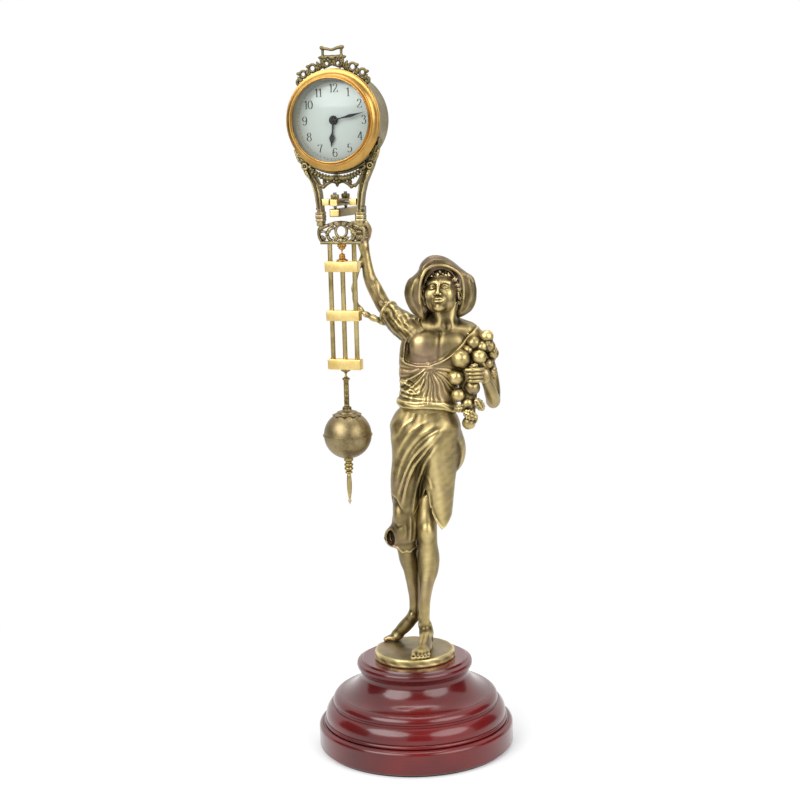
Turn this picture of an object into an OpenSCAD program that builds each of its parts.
// Mystery clock: a bronze youth on a turned wooden base holds up a bracket on which
// a whole clock, with its dial at the top and a ball bob below, swings as one pendulum.
// Units are millimetres. +Z is up, the dial faces -Y, and the origin is on the axis of
// the base at the surface that the clock stands on.

/* [Base] */
// Diameter of the wooden base at its lower disc
base_d = 144; // [130:1:175]
// Height of the lower wooden disc, with the felt under it
disc_h = 19; // [14:1:24]
// Height of the whole wooden base
base_h = 66.5; // [60:0.5:82]
// Diameter of the collar round the bronze plinth
collar_d = 85; // [78:1:102]
// Thickness of the felt pad
felt_t = 1.5; // [1:0.25:3]
// Thread diameter of the bolt that holds the bronze on the base
bolt_d = 5; // [4:0.5:7]

/* [Bronze figure] */
// Diameter of the bronze plinth disc
plinth_d = 60; // [56:1:72]
// Thickness of the bronze plinth disc
plinth_h = 6; // [4:0.5:9]
// Height of the youth from the plinth to the top of the hat
figure_h = 290; // [240:1:350]
// Turn of the youth to the viewer's right of the dial's own direction
figure_turn = 20; // [15:1:25]

/* [Bracket and pivots] */
// Width of the brass bracket bar
bracket_w = 8; // [6:0.5:10]
// Height of the brass bracket bar
bracket_t = 5.4; // [4:0.2:7]
// Distance between the two pivot points, front to back
pivot_gap = 20; // [16:1:24]
// Thread diameter of each pivot screw
pivot_screw_d = 2.4; // [2:0.1:3]

/* [Clock case] */
// Outer diameter of the drum
drum_d = 66; // [63:0.5:80]
// Depth of the drum behind the bezel
drum_depth = 22; // [21:0.5:27]
// Wall of the drum
drum_wall = 1.2; // [0.8:0.1:1.5]
// Height of the drum's lowest line above the pivots
frame_rise = 29.5; // [28:0.5:36]
// Diameter of the opening that shows the dial
dial_d = 57; // [50:0.5:60]
// How far the bezel stands out round the drum
bezel_lip = 2.3; // [1.5:0.1:4]
// Depth of the bezel
bezel_depth = 8; // [6.6:0.2:10]
// Thickness of the dial
dial_t = 0.5; // [0.4:0.1:0.8]
// Thickness of the glass
glass_t = 1.4; // [1:0.1:2]

/* [Lyre frame] */
// Half width of the window between the columns
window_half = 13; // [12:0.5:15]
// Depth of the columns, front to back
column_depth = 7; // [5:0.5:9]
// Height of the pierced ornament under the columns
ornament_h = 13; // [11:0.5:16]

/* [Pendulum] */
// Width of each crossbar
bar_w = 25; // [24:0.5:31]
// Height of each crossbar
bar_h = 7.5; // [6:0.5:9]
// Thickness of each crossbar, front to back
bar_t = 6.4; // [5:0.2:8]
// Diameter of the three rods
rod_d = 3.4; // [2.6:0.1:4.2]
// Distance between neighbouring rods
rod_pitch = 9.2; // [7.5:0.1:10]
// Distance from one crossbar to the next, top to top
bar_pitch = 35; // [30:0.5:42]
// Diameter of the regulating thread
thread_d = 4; // [3:0.2:4.8]
// Free length of the regulating thread above the bob
thread_free = 22; // [18:0.5:28]
// Diameter of the ball bob
bob_d = 34.5; // [30:0.5:40]
// Length of the pointed finial under the bob
pointer_l = 35; // [28:0.5:42]
// Wall of the bob shells
bob_wall = 1.2; // [0.8:0.1:2]

/* [Movement] */
// Distance between the movement plates
plate_gap = 9; // [8.6:0.1:9.6]
// Thickness of each movement plate
plate_t = 1; // [0.8:0.1:1.4]
// Radius of the centre arbor
arbor_r = 0.9; // [0.7:0.05:1]
// Radius of the winding arbor
winding_r = 1.2; // [1:0.05:1.3]
// Tooth module of the barrel and the centre pinion
barrel_m = 0.5; // [0.46:0.01:0.52]
// Time shown by the minute hand, in minutes past six
minutes = 13; // [0:1:59]

/* [Hidden] */
$fn = 64;

// Running clearance of a turning fit
fit = 0.05;
// Clearance of a hole that only lets a screw or an arbor pass
pass = 0.5;

// Colours, as the finishes look
bronze = [0.52, 0.44, 0.24];
dark_bronze = [0.40, 0.34, 0.21];
lacquer = [0.42, 0.05, 0.05];
satin_brass = [0.90, 0.78, 0.45];
gold_brass = [0.80, 0.58, 0.24];
bright_steel = [0.72, 0.72, 0.74];
blued_steel = [0.10, 0.11, 0.14];

// Heights from the floor
plinth_top = base_h + plinth_h;
figure_k = figure_h / 290;
pivot_z = plinth_top + 324.5 * figure_k;

// Swing axis in plan, behind which the raised hand stands
clock_x = -39.5 * figure_k;
clock_y = -20.5 * figure_k;
hand_y = 36.5 * figure_k;

// Places in the clock, from the middle of the swing axis
drum_r = drum_d / 2;
dial_rise = frame_rise + drum_r;
bezel_r = drum_r + bezel_lip;
drum_front = -9;
drum_back = drum_front + drum_depth;
bezel_front = drum_front - bezel_depth;
ledge_y = drum_front + 6;
dial_y = ledge_y - plate_t - 3.1;
glass_y = bezel_front + 2.6;
plate_front = ledge_y - plate_t;
plate_back = ledge_y + plate_gap;
cross_z = 5.8;
tip_gap = 0.3;
cup_depth = 1.6;
bracket_top = cup_depth - tip_gap;
window_bottom = -11;
finial_h = 12;
bar_top = window_bottom - ornament_h - finial_h;
socket_h = 7.5;
socket_top = bar_top - 2 * bar_pitch - bar_h;
thread_top = socket_top - socket_h;
bob_z = thread_top - thread_free - bob_d / 2 - 1;

// Wheel train, with tooth counts and pitch radii
cannon_n = 10;
minute_n = 30;
minute_pinion_n = 8;
hour_n = 32;
motion_m = 0.4;
motion_gap = motion_m * (cannon_n + minute_n) / 2;
great_n = 48;
centre_pinion_n = 8;
barrel_z = -barrel_m * (great_n + centre_pinion_n) / 2;
centre_n = 72;
third_pinion_n = 8;
centre_m = 0.34;
third_gap = centre_m * (centre_n + third_pinion_n) / 2;
third_n = 70;
escape_pinion_n = 7;
third_m = 0.3;
escape_gap = third_m * (third_n + escape_pinion_n) / 2;
escape_z = 14;
third_angle = asin((third_gap * third_gap + escape_z * escape_z - escape_gap * escape_gap)
    / (2 * third_gap * escape_z));
third_x = third_gap * cos(third_angle);
third_z = third_gap * sin(third_angle);
escape_r = 7;
escape_n = 40;
anchor_z = escape_z + 9.5;
small_arbor_r = 0.6;

// Points of a circular arc from p to q that stands out by s, to the left when s is positive
function bulge(p, q, s, n = 8) =
    let (len_pq = norm(q - p), h = abs(s), r = (len_pq * len_pq / 4 + h * h) / (2 * h))
    let (half = asin(len_pq / 2 / r), d = (q - p) / len_pq, side = [-d[1], d[0]] * sign(s))
    let (c = (p + q) / 2 - side * (r - h))
    [for (i = [0:n]) let (a = half * (2 * i / n - 1)) c + r * (d * sin(a) + side * cos(a))];

function unit(v) = v / norm(v);

// An oval of half axes a and b round c, in the plane of u and v
function oval(c, a, b, u, v, n) = [for (i = [0:n - 1]) c + a * cos(360 * i / n) * u + b * sin(360 * i / n) * v];

// A level oval for each [x, y, z, a, b]
function level_rings(list, n) = [for (p = list) oval([p[0], p[1], p[2]], p[3], p[4], [1, 0, 0], [0, 1, 0], n)];

// An oval square to the path at each [x, y, z, a, b], where a runs square to ref
function path_rings(list, ref, n) = [
    for (i = [0:len(list) - 1])
        let (p = list[max(i - 1, 0)], q = list[min(i + 1, len(list) - 1)])
        let (t = unit([q[0] - p[0], q[1] - p[1], q[2] - p[2]]), u = unit(cross(ref, t)))
        oval([list[i][0], list[i][1], list[i][2]], list[i][3], list[i][4], u, cross(t, u), n)
];

// A closed skin over a stack of rings
module loft(rings) {
    n = len(rings[0]);
    last = (len(rings) - 1) * n;
    polyhedron(
        points = [for (r = rings) each r],
        faces = concat(
            [[for (i = [0:n - 1]) i]],
            [[for (i = [n - 1:-1:0]) last + i]],
            [for (j = [0:len(rings) - 2], i = [0:n - 1]) [j * n + i, (j + 1) * n + i, (j + 1) * n + (i + 1) % n]],
            [for (j = [0:len(rings) - 2], i = [0:n - 1]) [j * n + i, (j + 1) * n + (i + 1) % n, j * n + (i + 1) % n]]
        )
    );
}

module trunk(list, n = 16) {
    loft(level_rings(list, n));
}

module limb(list, ref = [0, 1, 0], n = 12) {
    loft(path_rings(list, ref, n));
}

// Places the figure's own pieces: right is the viewer's right, y goes away, z from the plinth
module figure() {
    translate([0, 0, plinth_top]) rotate([0, 0, figure_turn]) scale(figure_k) children();
}

// Places the clock's pieces, from the middle of the swing axis
module clock() {
    translate([clock_x, clock_y, pivot_z]) children();
}

// Places pieces by the dial's centre
module at_dial() {
    clock() translate([0, 0, dial_rise]) children();
}

// A turned piece whose axis runs front to back, from points [radius, y]
module turned_y(points) {
    rotate([-90, 0, 0]) rotate_extrude() polygon(points);
}

// A cylinder that runs front to back from y0 to y1
module pin_y(x, z, r, y0, y1) {
    translate([x, y0, z]) rotate([-90, 0, 0]) cylinder(h = y1 - y0, r = r);
}

// A flat shape in the plane of the dial, from y0 to y1
module plate_y(y0, y1) {
    translate([0, y1, 0]) rotate([90, 0, 0]) linear_extrude(y1 - y0) children();
}

// Slim teeth with ample play, the first one centred on the angle turn
module gear_2d(n, m, turn) {
    step = 360 / n;
    tip = n * m / 2 + 0.75 * m;
    root = n * m / 2 - 1.05 * m;
    polygon([
        for (i = [0:n - 1])
            each [
                for (k = [[-0.26, root], [-0.1, tip], [0.1, tip], [0.26, root]])
                    k[1] * [cos(turn + (i + k[0]) * step), sin(turn + (i + k[0]) * step)]
            ]
    ]);
}

module wheel(x, z, n, m, turn, y0, y1, bore) {
    translate([x, 0, z]) difference() {
        plate_y(y0, y1) gear_2d(n, m, turn);
        pin_y(0, 0, bore, y0 - 1, y1 + 1);
    }
}

// Wooden base, fixing and felt

module base_disc() {
    r = base_d / 2;
    color(lacquer) difference() {
        rotate_extrude() polygon(concat(
            [[0, felt_t], [r - 2, felt_t]],
            bulge([r - 1.2, felt_t], [r, felt_t + 1.6], -0.4, 3),
            bulge([r, disc_h - 3.2], [r - 2, disc_h], -0.8, 5),
            [[0, disc_h]]
        ));
        cylinder(h = disc_h * 3, r = bolt_d / 2 + pass, center = true);
        cylinder(h = recess_top * 2, r = recess_r, center = true);
    }
}
recess_r = 14;
recess_top = disc_h - 7.5;

module base_bell() {
    r = base_d / 2;
    c = collar_d / 2;
    shoulder = disc_h + 19;
    rim_z = base_h - 6.5;
    color(lacquer) difference() {
        rotate_extrude() polygon(concat(
            [[0, disc_h], [r - 6, disc_h]],
            bulge([r - 5, disc_h], [r - 5, disc_h + 3], -1.45, 6),
            bulge([r - 5, disc_h + 3], [r - 9.5, disc_h + 14], -0.9, 8),
            [[r - 11, disc_h + 14], [r - 11, disc_h + 15.3]],
            bulge([r - 11, disc_h + 16], [r - 15.5, shoulder + 2.6], -1.4, 6),
            bulge([r - 15.5, shoulder + 2.6], [c - 2.2, rim_z - 6], 2.2, 10),
            bulge([c - 2.2, rim_z - 6], [c - 0.4, rim_z], 1.0, 5),
            bulge([c, rim_z + 0.6], [c - 0.6, rim_z + 4.6], -0.5, 4),
            [[c - 3.4, rim_z + 5.2], [c - 3.8, rim_z + 5.9], [c - 4.6, base_h], [0, base_h]]
        ));
        cylinder(h = base_h * 3, r = bolt_d / 2 + pass, center = true);
    }
}

// Covers the whole underside, with the nut's recess
module felt_pad() {
    color("darkgreen") cylinder(h = felt_t, r = base_d / 2 - 3);
}

washer_t = 1.4;
nut_t = 4;
bolt_top = plinth_top - 1.8;

module fixing_bolt() {
    color(bright_steel) translate([0, 0, recess_top - washer_t - nut_t - 1.5])
        cylinder(h = bolt_top - recess_top + washer_t + nut_t + 1.5, r = bolt_d / 2);
}

module fixing_washer() {
    color(bright_steel) translate([0, 0, recess_top - washer_t]) difference() {
        cylinder(h = washer_t, r = recess_r - 2);
        translate([0, 0, -1]) cylinder(h = washer_t + 2, r = bolt_d / 2 + fit);
    }
}

module fixing_nut() {
    color(bright_steel) translate([0, 0, recess_top - washer_t - nut_t]) difference() {
        cylinder(h = nut_t, r = bolt_d * 0.95, $fn = 6);
        translate([0, 0, -1]) cylinder(h = nut_t + 2, r = bolt_d / 2 + fit);
    }
}

// Bronze plinth and figure

module figure_plinth() {
    r = plinth_d / 2;
    color(bronze) translate([0, 0, base_h]) difference() {
        rotate_extrude() polygon(concat(
            [[0, 0], [r - 0.8, 0]],
            bulge([r, 0.8], [r - 0.2, plinth_h - 0.9], -0.2, 3),
            [[r - 1, plinth_h], [0, plinth_h]]
        ));
        translate([0, 0, -1]) cylinder(h = bolt_top - base_h + 1, r = bolt_d / 2 + fit);
    }
}

module front_leg_shape() {
    intersection() {
        union() {
            limb([
                [11, 5, 116, 8.5, 8.5], [12, 3, 100, 7.6, 8], [12.6, 2, 89, 6.6, 7.2], [13, 3, 79, 6.7, 7],
                [13.5, 5, 67, 7.4, 8], [12.8, 5.5, 54, 6.3, 7.2], [10.8, 4.5, 41, 4.9, 5.4],
                [9.2, 3.5, 32, 4.1, 4.6], [8.6, 3.5, 21, 4.3, 5], [9.4, 4, 10, 4.8, 6.4], [9.6, 4.2, 3, 4.9, 6.4]
            ]);
            limb([
                [11.6, 10.6, 4.6, 3, 3.4], [11, 8, 4.8, 5, 4.8], [9.2, 0, 6.5, 5, 6], [7.2, -8, 5.4, 5.8, 4.9],
                [5.2, -16, 4, 6.6, 3.9], [4, -22.5, 3, 6.8, 3], [3.4, -27, 2.4, 5.6, 2.4], [3.2, -28.4, 2, 3.2, 1.4]
            ], [0, 0, 1]);
        }
        translate([-60, -60, 0]) cube([120, 120, 300]);
    }
}

module front_leg() {
    color(bronze) figure() front_leg_shape();
}

module rear_leg_shape() {
    intersection() {
        union() {
            limb([
                [-3, 10, 112, 9, 9], [-5, 10, 96, 8.8, 9], [-5.5, 10.5, 84, 8.2, 8.6], [-5, 11.5, 74, 8.2, 8.6],
                [-3, 13, 61, 7, 7.6], [-0.6, 14, 48, 5.4, 6], [0.8, 14.5, 34, 3.4, 4], [0.4, 15.2, 26, 3.7, 4.4],
                [-0.2, 16, 19, 3.9, 4.8]
            ]);
            limb([
                [0.8, 16.2, 19, 3, 3], [-0.5, 16.4, 18.6, 4.2, 4.2], [-4, 17.4, 15.5, 4.4, 4.6],
                [-8.5, 18.6, 9.6, 5, 4.2], [-12.5, 19.6, 5, 5.6, 3.6], [-17, 20.6, 2.8, 5.4, 2.6],
                [-19.6, 21.2, 1.9, 3.4, 1.7]
            ], [0, 0, 1]);
        }
        translate([-60, -60, 0]) cube([120, 120, 300]);
    }
}

module rear_leg() {
    color(dark_bronze) figure() difference() {
        rear_leg_shape();
        front_leg_shape();
    }
}

waist = [13.5, 4, 181.5, 18.5, 13];

module drapery() {
    color(bronze) figure() difference() {
        union() {
            trunk([
                [4.5, 4, 91, 18.5, 14.5], [7, 4, 100.5, 22, 16], [8.5, 3.5, 110.5, 23.5, 16.5],
                [10, 4, 125.5, 24, 17], [14, 4, 139.5, 26.5, 17], [13, 4, 155.5, 28, 17], [14, 4, 167.5, 23, 15], waist
            ], 20);
            trunk([[-8.5, 9, 77, 10.3, 9.5], [-9.2, 9, 86, 9.6, 9.8], [-7.5, 8.5, 100, 9.5, 9.5], [-4, 7, 118, 8, 8]]);
        }
        front_leg_shape();
        rear_leg_shape();
    }
}

module torso_shape() {
    trunk([
        waist, [13.5, 4, 186.5, 21.5, 14], [14.5, 4, 194, 22, 14.5], [17, 4.5, 206, 22.5, 15],
        [19.5, 5, 217, 24.5, 15.5], [22, 5, 226, 26.5, 14.5], [25.5, 5, 234, 24.5, 12.5],
        [27.5, 5, 240, 18, 10], [28.5, 5, 245, 10.5, 8.5], [28.7, 5, 249, 7.8, 7.8]
    ], 20);
}

module torso() {
    color(bronze) figure() torso_shape();
}

module head_shape() {
    union() {
        limb([[28.7, 5, 249, 7.2, 7.4], [28, 4.6, 255, 6.8, 7.4], [27, 4, 264, 7, 7.6]]);
        limb([
            [29, -5, 247.5, 2, 2.5], [28.6, -3.6, 250, 7, 7.6], [27.8, -1.5, 254.5, 10.4, 11],
            [26.8, 1, 260.5, 12.6, 13.2], [25.8, 3.4, 267, 13, 14], [25, 5.4, 273, 12, 13],
            [24.3, 7, 278, 9.2, 10], [24, 8, 281, 4, 4.4]
        ], [0, 1, 0], 16);
    }
}

module head() {
    color(bronze) figure() difference() {
        head_shape();
        torso_shape();
    }
}

module hat() {
    tilt = [-0.08, 0.7, 0.71];
    centre = [26, 5, 268];
    color(bronze) figure() difference() {
        limb([
            for (s = [[-3.4, 26], [-1.6, 26.8], [1.6, 17.4], [5.5, 15.8], [10, 15], [13.5, 12], [15.6, 6.5], [16.2, 2]])
                let (c = centre + s[0] * unit(tilt)) [c[0], c[1], c[2], s[1], s[1]]
        ], [0, 1, 0], 20);
        head_shape();
        torso_shape();
    }
}

module raised_arm_shape() {
    union() {
        limb([
            [9, 5, 229, 10, 10.5], [3, 7, 235, 10.5, 10.5], [-3, 12, 240.5, 9.6, 9.6], [-10, 19, 246.5, 8, 8.2],
            [-15.5, 25, 252.5, 6.4, 6.6], [-19, 27, 259, 6, 6.2], [-22.5, 28, 266, 5.7, 6], [-25.8, 28.4, 274, 4.9, 5.2],
            [-27.2, 28.5, 282, 4.1, 4.4], [-28.2, 28.5, 290, 3.7, 4.2], [-29.4, 28.5, 297, 3.9, 4.8]
        ]);
        limb([
            [-9, 19, 243, 5, 4], [-17, 20.5, 243, 3.6, 2.8], [-24, 22, 244.5, 2.8, 2], [-31, 23, 248.5, 2.4, 1.6],
            [-36, 24, 254.5, 2.2, 1.6], [-37.4, 25, 262, 2, 1.6], [-37, 26, 271, 1.8, 1.6], [-34.5, 27, 280, 1.8, 1.5],
            [-30, 28.2, 287.5, 2, 1.6]
        ]);
    }
}

module raised_arm() {
    color(bronze) figure() difference() {
        raised_arm_shape();
        torso_shape();
    }
}

module post_shape() {
    translate([clock_x, clock_y + hand_y, 0]) translate([0, 0, pivot_z + bracket_top - bracket_t - post_l])
        cylinder(h = post_l, r = bracket_w / 2 - 0.6);
}
post_l = 15;

module raised_hand() {
    color(bronze) difference() {
        figure() difference() {
            limb([
                [-29.4, 28.5, 296.6, 4.2, 5.2], [-30.2, 28.4, 301, 5.4, 6], [-31.2, 28.2, 307, 6.6, 6.6],
                [-31.7, 28.2, 313, 6.8, 6.4], [-31.8, 28.2, 317.5, 5.6, 5.2]
            ]);
            raised_arm_shape();
        }
        post_shape();
    }
}

module fruit_arm_shape() {
    union() {
        limb([
            [41, 6, 234, 9, 8.5], [48, 8, 230, 8.6, 8], [54, 11, 219, 7.4, 7.2], [59, 12.5, 205, 6.6, 6.8],
            [62, 11.5, 191, 5.6, 6.2], [63, 8.5, 181, 4.4, 4.8], [62.6, 6.5, 176.6, 2.4, 2.6]
        ]);
        limb([
            [62.6, 10, 179, 3.4, 3.6], [62, 5, 181.5, 4.8, 5], [60.5, -1, 188.5, 5, 5], [58.4, -6, 195.5, 4.4, 4.6],
            [55.6, -10.5, 201, 3.4, 4.2], [52, -13.2, 203.6, 2.9, 4.4], [46, -14.6, 204, 2.4, 4.8], [40.5, -14.2, 204, 1.9, 4]
        ], [0, 0, 1]);
    }
}

module fruit_arm() {
    color(bronze) figure() difference() {
        fruit_arm_shape();
        torso_shape();
    }
}

// Each fruit as [x, z, radius], all about as far forward as the hand
fruits = [
    [39.4, 215, 6.9], [52.6, 216, 5.4], [57.4, 231.4, 6.1], [35.2, 201.4, 5.5], [37.3, 188.3, 4.9],
    [47.7, 193.2, 5.5], [48.9, 225.5, 4.9], [62, 222.5, 5], [59.6, 211, 3.9], [44.6, 168.4, 4.7]
];

module fruit_bunch() {
    color(bronze) figure() difference() {
        union() {
            limb([
                [45.5, -9, 164.5, 1.6, 1.6], [44.5, -9.4, 168, 4, 3.4], [44, -9, 177, 3.4, 3.4], [44, -7.8, 188, 7.6, 5],
                [44.5, -6, 201, 9, 5], [47.5, -4, 215, 9.6, 5], [53, -2, 226, 7.6, 5], [56, -1.4, 233, 3.4, 3]
            ]);
            for (f = fruits)
                translate([f[0], f[0] > 54 ? -3.6 : -9.6, f[1]]) sphere(r = f[2], $fn = 12);
        }
        torso_shape();
        fruit_arm_shape();
    }
}

module bracket_post() {
    color(dark_bronze) post_shape();
}

// Two cups in the bar take the points of the pivot screws
module bracket_bar() {
    front = -pivot_gap / 2 - 3;
    color(satin_brass) clock() difference() {
        translate([-bracket_w / 2, front, bracket_top - bracket_t])
            cube([bracket_w, hand_y + bracket_w / 2 - front, bracket_t]);
        for (y = [-1, 1])
            translate([0, y * pivot_gap / 2, -tip_gap]) cylinder(h = cup_depth + 0.01, r1 = 0.05, r2 = 2.2);
    }
}

// Clock case

module case_drum() {
    color(dark_bronze) at_dial() turned_y([
        [drum_r - drum_wall, drum_front], [drum_r, drum_front], [drum_r, drum_back],
        [drum_r - drum_wall, drum_back], [drum_r - drum_wall, ledge_y + 1],
        [drum_r - drum_wall - 1.6, ledge_y + 1], [drum_r - drum_wall - 1.6, ledge_y], [drum_r - drum_wall, ledge_y]
    ]);
}

module back_cover() {
    color(dark_bronze) at_dial() difference() {
        turned_y(concat(
            [[0, drum_back], [drum_r - drum_wall - fit, drum_back - 2], [drum_r - drum_wall - fit, drum_back]],
            bulge([drum_r, drum_back], [drum_r - 3, drum_back + 1.2], -0.4, 4),
            [[0, drum_back + 1.2]]
        ));
        pin_y(0, 0, arbor_r + pass, drum_back - 3, drum_back + 3);
        pin_y(0, barrel_z, winding_r + pass, drum_back - 3, drum_back + 3);
    }
}

module bezel() {
    inner = dial_d / 2;
    color(gold_brass) at_dial() turned_y(concat(
        [[inner, glass_y - 0.8], [inner + 0.5, glass_y - 1.4], [inner + 1.2, bezel_front + 0.6]],
        bulge([inner + 1.4, bezel_front + 0.4], [bezel_r - 0.6, bezel_front + 2.6], 1.5, 10),
        bulge([bezel_r, bezel_front + 3.6], [bezel_r - 0.3, drum_front - 0.4], 0.2, 3),
        [[bezel_r - 0.6, drum_front], [inner + 2.4, drum_front], [inner + 2.4, glass_y], [inner, glass_y]]
    ));
}

module crystal() {
    r = dial_d / 2 + 2.3;
    color([0.85, 0.92, 0.95, 0.35]) at_dial() turned_y([
        [0, glass_y + fit], [r, glass_y + fit], [r, glass_y + glass_t], [0, glass_y + glass_t]
    ]);
}

module dial() {
    color("whitesmoke") at_dial() difference() {
        pin_y(0, 0, drum_r - drum_wall - 0.2, dial_y, dial_y + dial_t);
        pin_y(0, 0, arbor_r + 1.6, dial_y - 1, dial_y + 2);
    }
}

// Scroll rings, a pierced middle and a ribbon loop, cut as one plate that hugs the drum
module crest() {
    seat = drum_r + 0.02;
    ring_at = drum_r + 6.4;
    color(dark_bronze) at_dial() plate_y(drum_front + 0.2, drum_front + 3.8) difference() {
        union() {
            intersection() {
                difference() {
                    circle(r = seat + 3.4);
                    circle(r = seat);
                }
                polygon([[0, 0], [60, 55], [60, 80], [-60, 80], [-60, 55]]);
            }
            for (a = [-34.5, -22.5, 22.5, 34.5])
                rotate(a) translate([0, ring_at]) circle(r = 3.4);
            for (a = [-43, 43])
                rotate(a) translate([0, seat + 2.6]) circle(r = 2.6);
            translate([0, seat + 5]) polygon([[-11, -5], [11, -5], [10, 4], [6, 6.6], [-6, 6.6], [-10, 4]]);
            translate([-8, seat + 10]) square([16, 8.3]);
        }
        for (a = [-34.5, -22.5, 22.5, 34.5])
            rotate(a) translate([0, ring_at]) circle(r = 1.9);
        for (a = [-6.8, 6.8])
            rotate(a) translate([0, seat + 5.8]) circle(r = 1.9);
        translate([-5.6, seat + 12.4]) square([11.2, 3.8]);
        circle(r = seat);
    }
}

module garland() {
    seat = bezel_r + 0.1;
    color(dark_bronze) at_dial() plate_y(-6, -2.5) difference() {
        union() {
            intersection() {
                circle(r = seat + 3.6);
                polygon([[0, 0], [20, -60], [-20, -60]]);
            }
            translate([0, -seat - 3.6]) circle(r = 4.2);
            for (x = [-1, 1])
                translate([x * 9.4, -seat - 1.6]) circle(r = 3.2);
        }
        circle(r = seat);
    }
}

// Lyre frame and what it carries

module column_2d() {
    shoulder = dial_rise - drum_r * cos(66);
    top = drum_r * sin(66) + 2.6;
    foot = window_half + 3.8;
    hip = frame_rise - 4.5;
    wing_r = drum_r + 1.7;
    polygon(concat(
        [[top, shoulder + 2]],
        bulge([wing_r * sin(54), dial_rise - wing_r * cos(54)], [window_half + 11.4, hip], -1.1, 6),
        bulge([window_half + 11.4, hip], [foot, -1], 1.2, 6),
        [[foot + 1.5, -1.4], [foot + 1.5, -7.4], [foot + 0.6, -8], [foot + 0.6, window_bottom]],
        [[window_half, window_bottom], [window_half, -8], [window_half - 0.7, -7.4], [window_half - 0.7, -1.4]],
        bulge([window_half, -1], [window_half + 5.6, hip - 1], -0.8, 6),
        [[drum_r * sin(38), dial_rise - drum_r * cos(38) - 3.4], [drum_r * sin(50), dial_rise - drum_r * cos(50)], [top - 4, shoulder + 4]]
    ));
}

module lyre_frame() {
    d = column_depth / 2;
    color(dark_bronze) clock() difference() {
        union() {
            plate_y(-d, d) {
                column_2d();
                mirror([1, 0]) column_2d();
            }
            plate_y(-6, d) difference() {
                intersection() {
                    translate([0, dial_rise]) circle(r = bezel_r);
                    translate([-drum_r * sin(48), 0]) square([2 * drum_r * sin(48), dial_rise]);
                }
                translate([0, dial_rise]) circle(r = drum_r);
            }
        }
        translate([0, 0, dial_rise]) pin_y(0, 0, drum_r, -20, 20);
        pin_y(0, cross_z, 0.3, -20, 20);
    }
}

module lower_ornament() {
    w = window_half + 4.6;
    b = window_bottom - ornament_h;
    color(dark_bronze) clock() plate_y(-2.2, 2.2) difference() {
        polygon(concat(
            [[-w, window_bottom], [w, window_bottom]],
            bulge([w, window_bottom - 2], [w - 2, b + 2], -0.8, 6),
            [[w - 3, b], [3 - w, b]],
            bulge([2 - w, b + 2], [-w, window_bottom - 2], -0.8, 6)
        ));
        translate([0, window_bottom - 4.6]) circle(r = 3.3);
        for (x = [-1, 1])
            translate([x * 9.6, window_bottom - 5.2]) difference() {
                circle(r = 4);
                translate([-x * 2.3, -0.6]) circle(r = 2.2);
            }
    }
}

module cross_blocks() {
    color(satin_brass) clock() for (x = [-1, 1])
        translate([x * (window_half - 2.65), 0, cross_z]) difference() {
            cube([5.3, 6, 4.6], center = true);
            rotate([0, 90, 0]) cylinder(h = 8, r = 1, center = true);
        }
}

module cross_rod() {
    color(bright_steel) clock() translate([0, 0, cross_z]) rotate([0, 90, 0])
        cylinder(h = 2 * window_half, r = 1, center = true);
}

module pivot_block() {
    color(satin_brass) clock() translate([0, 0, cross_z]) difference() {
        cube([5.4, pivot_gap + 6, 4.8], center = true);
        rotate([0, 90, 0]) cylinder(h = 8, r = 1, center = true);
        for (y = [-1, 1])
            translate([0, y * pivot_gap / 2, 0]) cylinder(h = 8, r = pivot_screw_d / 2, center = true);
    }
}

// The point of each screw stands on the swing axis
module pivot_screws() {
    r = pivot_screw_d / 2;
    color(bright_steel) clock() for (y = [-1, 1])
        translate([0, y * pivot_gap / 2, 0]) {
            translate([0, 0, 2.4]) cylinder(h = 10.4, r = r);
            cylinder(h = 2.4, r1 = 0.05, r2 = r);
        }
}

module lock_nuts() {
    color(blued_steel) clock() for (y = [-1, 1])
        translate([0, y * pivot_gap / 2, cross_z + 2.4]) difference() {
            cylinder(h = 3.2, r = 3);
            translate([0, 0, -1]) cylinder(h = 6, r = pivot_screw_d / 2);
        }
}

// Movement plates with their bearing holes

module arbor_holes(y0, y1) {
    pin_y(0, 0, arbor_r + fit, y0, y1);
    pin_y(0, barrel_z, winding_r + fit, y0, y1);
    pin_y(third_x, third_z, small_arbor_r + fit, y0, y1);
    pin_y(0, escape_z, small_arbor_r + fit, y0, y1);
    pin_y(0, anchor_z, small_arbor_r + fit, y0, y1);
}

module front_plate() {
    color(gold_brass) at_dial() difference() {
        union() {
            pin_y(0, 0, drum_r - drum_wall - 0.1, plate_front, ledge_y);
            pin_y(0, motion_gap, small_arbor_r, dial_y + dial_t + 0.1, plate_front);
        }
        arbor_holes(plate_front - 1, ledge_y + 1);
    }
}

pillars = [[-22, -8], [22, -8], [-9, 22.3], [9, 22.3]];

module back_plate() {
    color(gold_brass) at_dial() difference() {
        union() {
            pin_y(0, 0, 26.5, plate_back, plate_back + plate_t);
            for (p = pillars)
                pin_y(p[0], p[1], 1.5, ledge_y, plate_back);
        }
        arbor_holes(plate_back - 1, plate_back + plate_t + 1);
    }
}

// Pendulum below the frame

module upper_finial() {
    h = finial_h;
    color(gold_brass) clock() translate([0, 0, bar_top]) rotate_extrude() polygon(concat(
        [[0, 0], [4.4, 0], [4.4, 1.4], [2.4, 2]],
        bulge([2.4, 2], [2.4, 4.6], 0.5, 4),
        bulge([2.6, 4.8], [2.4, h - 3.2], -2, 8),
        [[3.2, h - 2.8], [3.2, h - 1], [1.8, h], [0, h]]
    ));
}

module short_posts() {
    color(bronze) clock() for (x = [-1, 1])
        translate([x * rod_pitch, 0, bar_top]) cylinder(h = finial_h, r = rod_d / 2);
}

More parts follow.
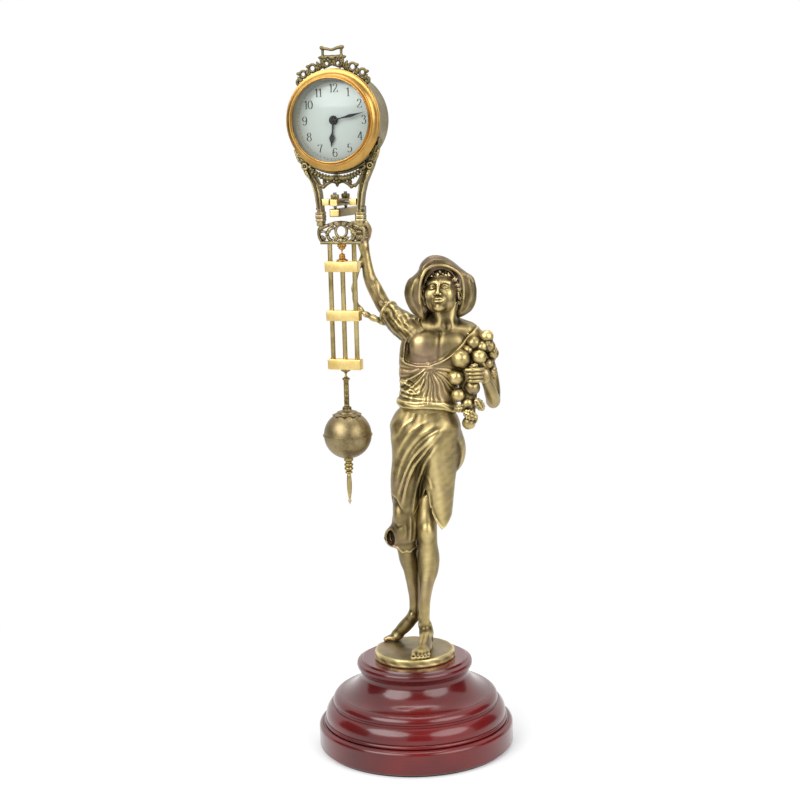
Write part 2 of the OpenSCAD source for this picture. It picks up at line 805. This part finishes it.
module rod_set() {
    for (x = [-1, 0, 1])
        translate([x * rod_pitch, 0, socket_top + 2.5])
            cylinder(h = bar_top - socket_top - 5, r = rod_d / 2);
}

module crossbars() {
    color(satin_brass) clock() difference() {
        for (i = [0:2])
            translate([-bar_w / 2, -bar_t / 2, bar_top - i * bar_pitch - bar_h]) cube([bar_w, bar_t, bar_h]);
        rod_set();
    }
}

module pendulum_rods() {
    color(bronze) clock() rod_set();
}

module rod_socket() {
    h = socket_h;
    color(satin_brass) clock() translate([0, 0, thread_top]) rotate_extrude() polygon(concat(
        [[0, 0], [2.8, 0], [2.8, 1]],
        bulge([2.8, 1.2], [2.4, h - 1.2], -1.7, 8),
        [[3.4, h - 1], [3.4, h], [0, h]]
    ));
}

thread_end = bob_z - bob_d / 2 + 6;

module rating_thread() {
    color(bronze) clock() translate([0, 0, thread_end]) cylinder(h = thread_top - thread_end, r = thread_d / 2);
}

// Ball bob: two spun shells round a heavy core, a leaf cap and a pointed finial

module half_shell(up) {
    r = bob_d / 2;
    z0 = up ? 0 : -r - 1;
    difference() {
        intersection() {
            union() {
                sphere(r = r);
                translate([0, 0, -0.6]) cylinder(h = 1.2, r = r + 0.7);
            }
            translate([-r - 2, -r - 2, z0]) cube([2 * r + 4, 2 * r + 4, r + 1]);
        }
        sphere(r = r - bob_wall);
        cylinder(h = 3 * r, r = thread_d / 2 + 0.3, center = true);
    }
}

module bob_upper_shell() {
    color(bronze) clock() translate([0, 0, bob_z]) half_shell(true);
}

module bob_lower_shell() {
    color(bronze) clock() translate([0, 0, bob_z]) half_shell(false);
}

module bob_core() {
    color("dimgray") clock() translate([0, 0, bob_z]) difference() {
        sphere(r = bob_d / 2 - bob_wall - 0.05);
        cylinder(h = bob_d, r = thread_d / 2 + 0.3, center = true);
    }
}

module leaf_cap() {
    r = bob_d / 2;
    color(bronze) clock() translate([0, 0, bob_z]) difference() {
        union() {
            intersection() {
                sphere(r = r + 1.2);
                translate([0, 0, r * 0.80]) cylinder(h = r, r = r);
            }
            translate([0, 0, r]) cylinder(h = 3.4, r = 3.6);
        }
        sphere(r = r + 0.02);
        cylinder(h = 3 * r, r = thread_d / 2 + fit, center = true);
    }
}

module pointer_finial() {
    l = pointer_l;
    color(gold_brass) clock() translate([0, 0, bob_z - bob_d / 2 + 0.6]) difference() {
        rotate_extrude() polygon(concat(
            [[0, 0], [3.4, 0], [3.4, -2.4], [2.4, -3], [2.4, -4]],
            bulge([2.6, -4.2], [2.6, -6.6], 0.8, 4),
            bulge([2.4, -6.8], [2.4, -9.6], 0.9, 4),
            [[1.9, -10], [2.7, -10.6], [2.7, -11.6], [1.8, -12.2]],
            bulge([1.8, -12.2], [0.9, -l + 4.2], 0.9, 6),
            bulge([0.9, -l + 4], [0, -l], 0.9, 6)
        ));
        translate([0, 0, bob_d / 2 - 0.6]) sphere(r = bob_d / 2 + 0.02);
    }
}

// Hands and wheels

minute_turn = minutes * 6;
hour_turn = 180 + minutes / 2;
minute_y = dial_y - 3.1;
hour_y = dial_y - 1.7;
hand_t = 0.45;

module minute_hand() {
    r = dial_d / 2;
    color(blued_steel) at_dial() difference() {
        union() {
            pin_y(0, 0, 2.6, minute_y, minute_y + hand_t);
            plate_y(minute_y, minute_y + hand_t) rotate(-minute_turn)
                polygon([[-0.75, -1], [-0.75, 4], [-1.1, r * 0.45], [0, r - 3], [1.1, r * 0.45], [0.75, 4], [0.75, -1]]);
        }
        pin_y(0, 0, arbor_r, minute_y - 1, minute_y + 1);
    }
}

module cannon_pinion() {
    cannon_y = plate_front - 1;
    color(gold_brass) at_dial() difference() {
        union() {
            plate_y(cannon_y, cannon_y + 0.8) gear_2d(cannon_n, motion_m, 90);
            pin_y(0, 0, arbor_r + 0.4, minute_y + hand_t, cannon_y);
        }
        pin_y(0, 0, arbor_r, minute_y - 1, plate_front + 1);
    }
}

module hour_hand() {
    r = dial_d / 2;
    color(blued_steel) at_dial() difference() {
        union() {
            pin_y(0, 0, 3.2, hour_y, hour_y + hand_t);
            plate_y(hour_y, hour_y + hand_t) rotate(-hour_turn)
                polygon([[-0.7, 0], [-0.6, r * 0.32], [-1.9, r * 0.44], [-0.5, r * 0.54], [0, r * 0.66],
                    [0.5, r * 0.54], [1.9, r * 0.44], [0.6, r * 0.32], [0.7, 0]]);
        }
        pin_y(0, 0, arbor_r + 1.1, hour_y - 1, hour_y + 2);
    }
}

hour_wheel_y = plate_front - 2.2;

module hour_wheel() {
    color(gold_brass) at_dial() difference() {
        union() {
            plate_y(hour_wheel_y, hour_wheel_y + 0.8) gear_2d(hour_n, motion_m, 90);
            pin_y(0, 0, arbor_r + 1.1, hour_y, hour_wheel_y);
        }
        pin_y(0, 0, arbor_r + 0.4 + fit, hour_y - 1, plate_front + 1);
    }
}

module minute_wheel() {
    color(gold_brass) at_dial() difference() {
        union() {
            translate([0, 0, motion_gap]) plate_y(plate_front - 1, plate_front - 0.2)
                gear_2d(minute_n, motion_m, 270 + 180 / minute_n);
            translate([0, 0, motion_gap]) plate_y(hour_wheel_y, plate_front - 1)
                gear_2d(minute_pinion_n, motion_m, 270 + 180 / minute_pinion_n);
        }
        pin_y(0, motion_gap, small_arbor_r + fit, hour_wheel_y - 1, plate_front + 1);
    }
}

great_y = ledge_y + 0.8;
centre_wheel_y = plate_back - 1.4;

module centre_arbor() {
    color(gold_brass) at_dial() union() {
        pin_y(0, 0, arbor_r, minute_y - 0.6, drum_back + 3);
        plate_y(great_y - 0.2, great_y + 1.2) gear_2d(centre_pinion_n, barrel_m, 270);
        plate_y(centre_wheel_y, centre_wheel_y + 0.8) gear_2d(centre_n, centre_m, third_angle);
    }
}

module setting_knob() {
    color(satin_brass) at_dial() difference() {
        union() {
            pin_y(0, 0, 3.6, drum_back + 2.2, drum_back + 5);
            pin_y(0, 0, 2, drum_back + 1.6, drum_back + 2.2);
        }
        pin_y(0, 0, arbor_r, drum_back, drum_back + 3);
    }
}

barrel_top = centre_wheel_y - 0.4;

module barrel() {
    color(gold_brass) at_dial() translate([0, 0, barrel_z]) difference() {
        union() {
            plate_y(great_y, great_y + 1) gear_2d(great_n, barrel_m, 90 + 180 / great_n);
            pin_y(0, 0, 9.4, great_y + 1, barrel_top);
        }
        pin_y(0, 0, 8.6, great_y + 1.6, barrel_top - 0.6);
        pin_y(0, 0, winding_r + fit, great_y - 1, barrel_top + 1);
    }
}

// A flat spiral of spring steel, wound from near the arbor to the barrel's wall
module mainspring() {
    turns = 7;
    steps = 20;
    function coil(i, w) = let (s = i / (turns * steps), r = 2.2 + 6 * s + w) [r * cos(360 * i / steps), r * sin(360 * i / steps)];
    color(bright_steel) at_dial() translate([0, 0, barrel_z]) plate_y(great_y + 1.8, barrel_top - 0.8) polygon(concat(
        [for (i = [0:turns * steps]) coil(i, 0)],
        [for (i = [turns * steps:-1:0]) coil(i, 0.3)]
    ));
}

module winding_arbor() {
    square_end = drum_back + 8;
    color(bright_steel) at_dial() union() {
        pin_y(0, barrel_z, winding_r, plate_front, drum_back + 1.6);
        translate([-0.8, drum_back + 1.6, barrel_z - 0.8]) cube([1.6, square_end - drum_back - 1.6, 1.6]);
    }
}

module winding_key() {
    y0 = drum_back + 2.4;
    color(satin_brass) at_dial() translate([0, 0, barrel_z]) difference() {
        union() {
            pin_y(0, 0, 2, y0, y0 + 8);
            translate([0, y0 + 8, 0]) rotate([0, 0, 90]) plate_y(-0.8, 0.8) union() {
                translate([0, -2]) square([5, 4]);
                for (s = [-1, 1])
                    translate([4.4, s * 4]) circle(r = 4);
            }
        }
        translate([-0.85, y0 - 1, -0.85]) cube([1.7, 7, 1.7]);
    }
}

module third_wheel() {
    third_y = great_y + 3.2;
    color(gold_brass) at_dial() translate([third_x, 0, third_z]) union() {
        pin_y(0, 0, small_arbor_r, plate_front, plate_back + plate_t);
        plate_y(third_y, third_y + 0.7) gear_2d(third_n, third_m, atan2(escape_z - third_z, -third_x));
        plate_y(centre_wheel_y - 0.3, centre_wheel_y + 1.1)
            gear_2d(third_pinion_n, centre_m, third_angle + 180 + 180 / third_pinion_n);
    }
}

escape_y = great_y + 5;

module escape_wheel() {
    toward = atan2(escape_z - third_z, -third_x);
    color(gold_brass) at_dial() translate([0, 0, escape_z]) union() {
        pin_y(0, 0, small_arbor_r, plate_front, plate_back + plate_t);
        plate_y(great_y + 2.9, great_y + 4.2)
            gear_2d(escape_pinion_n, third_m, toward + 180 + 180 / escape_pinion_n);
        plate_y(escape_y, escape_y + 0.6) polygon([
            for (i = [0:escape_n - 1])
                each [
                    for (k = [[0, escape_r], [0.16, escape_r], [0.5, escape_r - 1.3], [0.9, escape_r - 1.3]])
                        k[1] * [cos((i + k[0]) * 360 / escape_n), sin((i + k[0]) * 360 / escape_n)]
                ]
        ]);
    }
}

// Pallets above the escape wheel, and the small pendulum inside the drum that drives the swing
module anchor() {
    drop = anchor_z - escape_z;
    swing_y = plate_back + plate_t + 1.4;
    color(bright_steel) at_dial() translate([0, 0, anchor_z]) {
        pin_y(0, 0, small_arbor_r, plate_front, swing_y + 1);
        pin_y(0, 0, 1.5, escape_y, escape_y + 0.6);
        plate_y(escape_y, escape_y + 0.6)
            polygon([[-1, 1.2], [1, 1.2], [5.8, -1.6], [5.2, -3.2], [4.6, -3], [4.2, -1.8], [0, 0],
                [-4.2, -1.8], [-4.6, -3], [-5.2, -3.2], [-5.8, -1.6]]);
        plate_y(swing_y, swing_y + 0.8) difference() {
            union() {
                translate([-0.7, -anchor_z + 4]) square([1.4, anchor_z - 3]);
                translate([0, -anchor_z]) circle(r = 4.6);
                translate([0, -anchor_z - 7.6]) circle(r = 3.6);
            }
            translate([0, -anchor_z]) circle(r = 3.4);
        }
    }
}

base_disc();
base_bell();
felt_pad();
fixing_bolt();
fixing_washer();
fixing_nut();
figure_plinth();
front_leg();
rear_leg();
drapery();
torso();
head();
hat();
raised_arm();
raised_hand();
fruit_arm();
fruit_bunch();
bracket_post();
bracket_bar();
case_drum();
back_cover();
bezel();
crystal();
dial();
crest();
garland();
lyre_frame();
lower_ornament();
cross_blocks();
cross_rod();
pivot_block();
pivot_screws();
lock_nuts();
front_plate();
back_plate();
upper_finial();
short_posts();
crossbars();
pendulum_rods();
rod_socket();
rating_thread();
bob_upper_shell();
bob_lower_shell();
bob_core();
leaf_cap();
pointer_finial();
minute_hand();
cannon_pinion();
centre_arbor();
setting_knob();
hour_hand();
hour_wheel();
minute_wheel();
barrel();
mainspring();
winding_arbor();
winding_key();
third_wheel();
escape_wheel();
anchor();
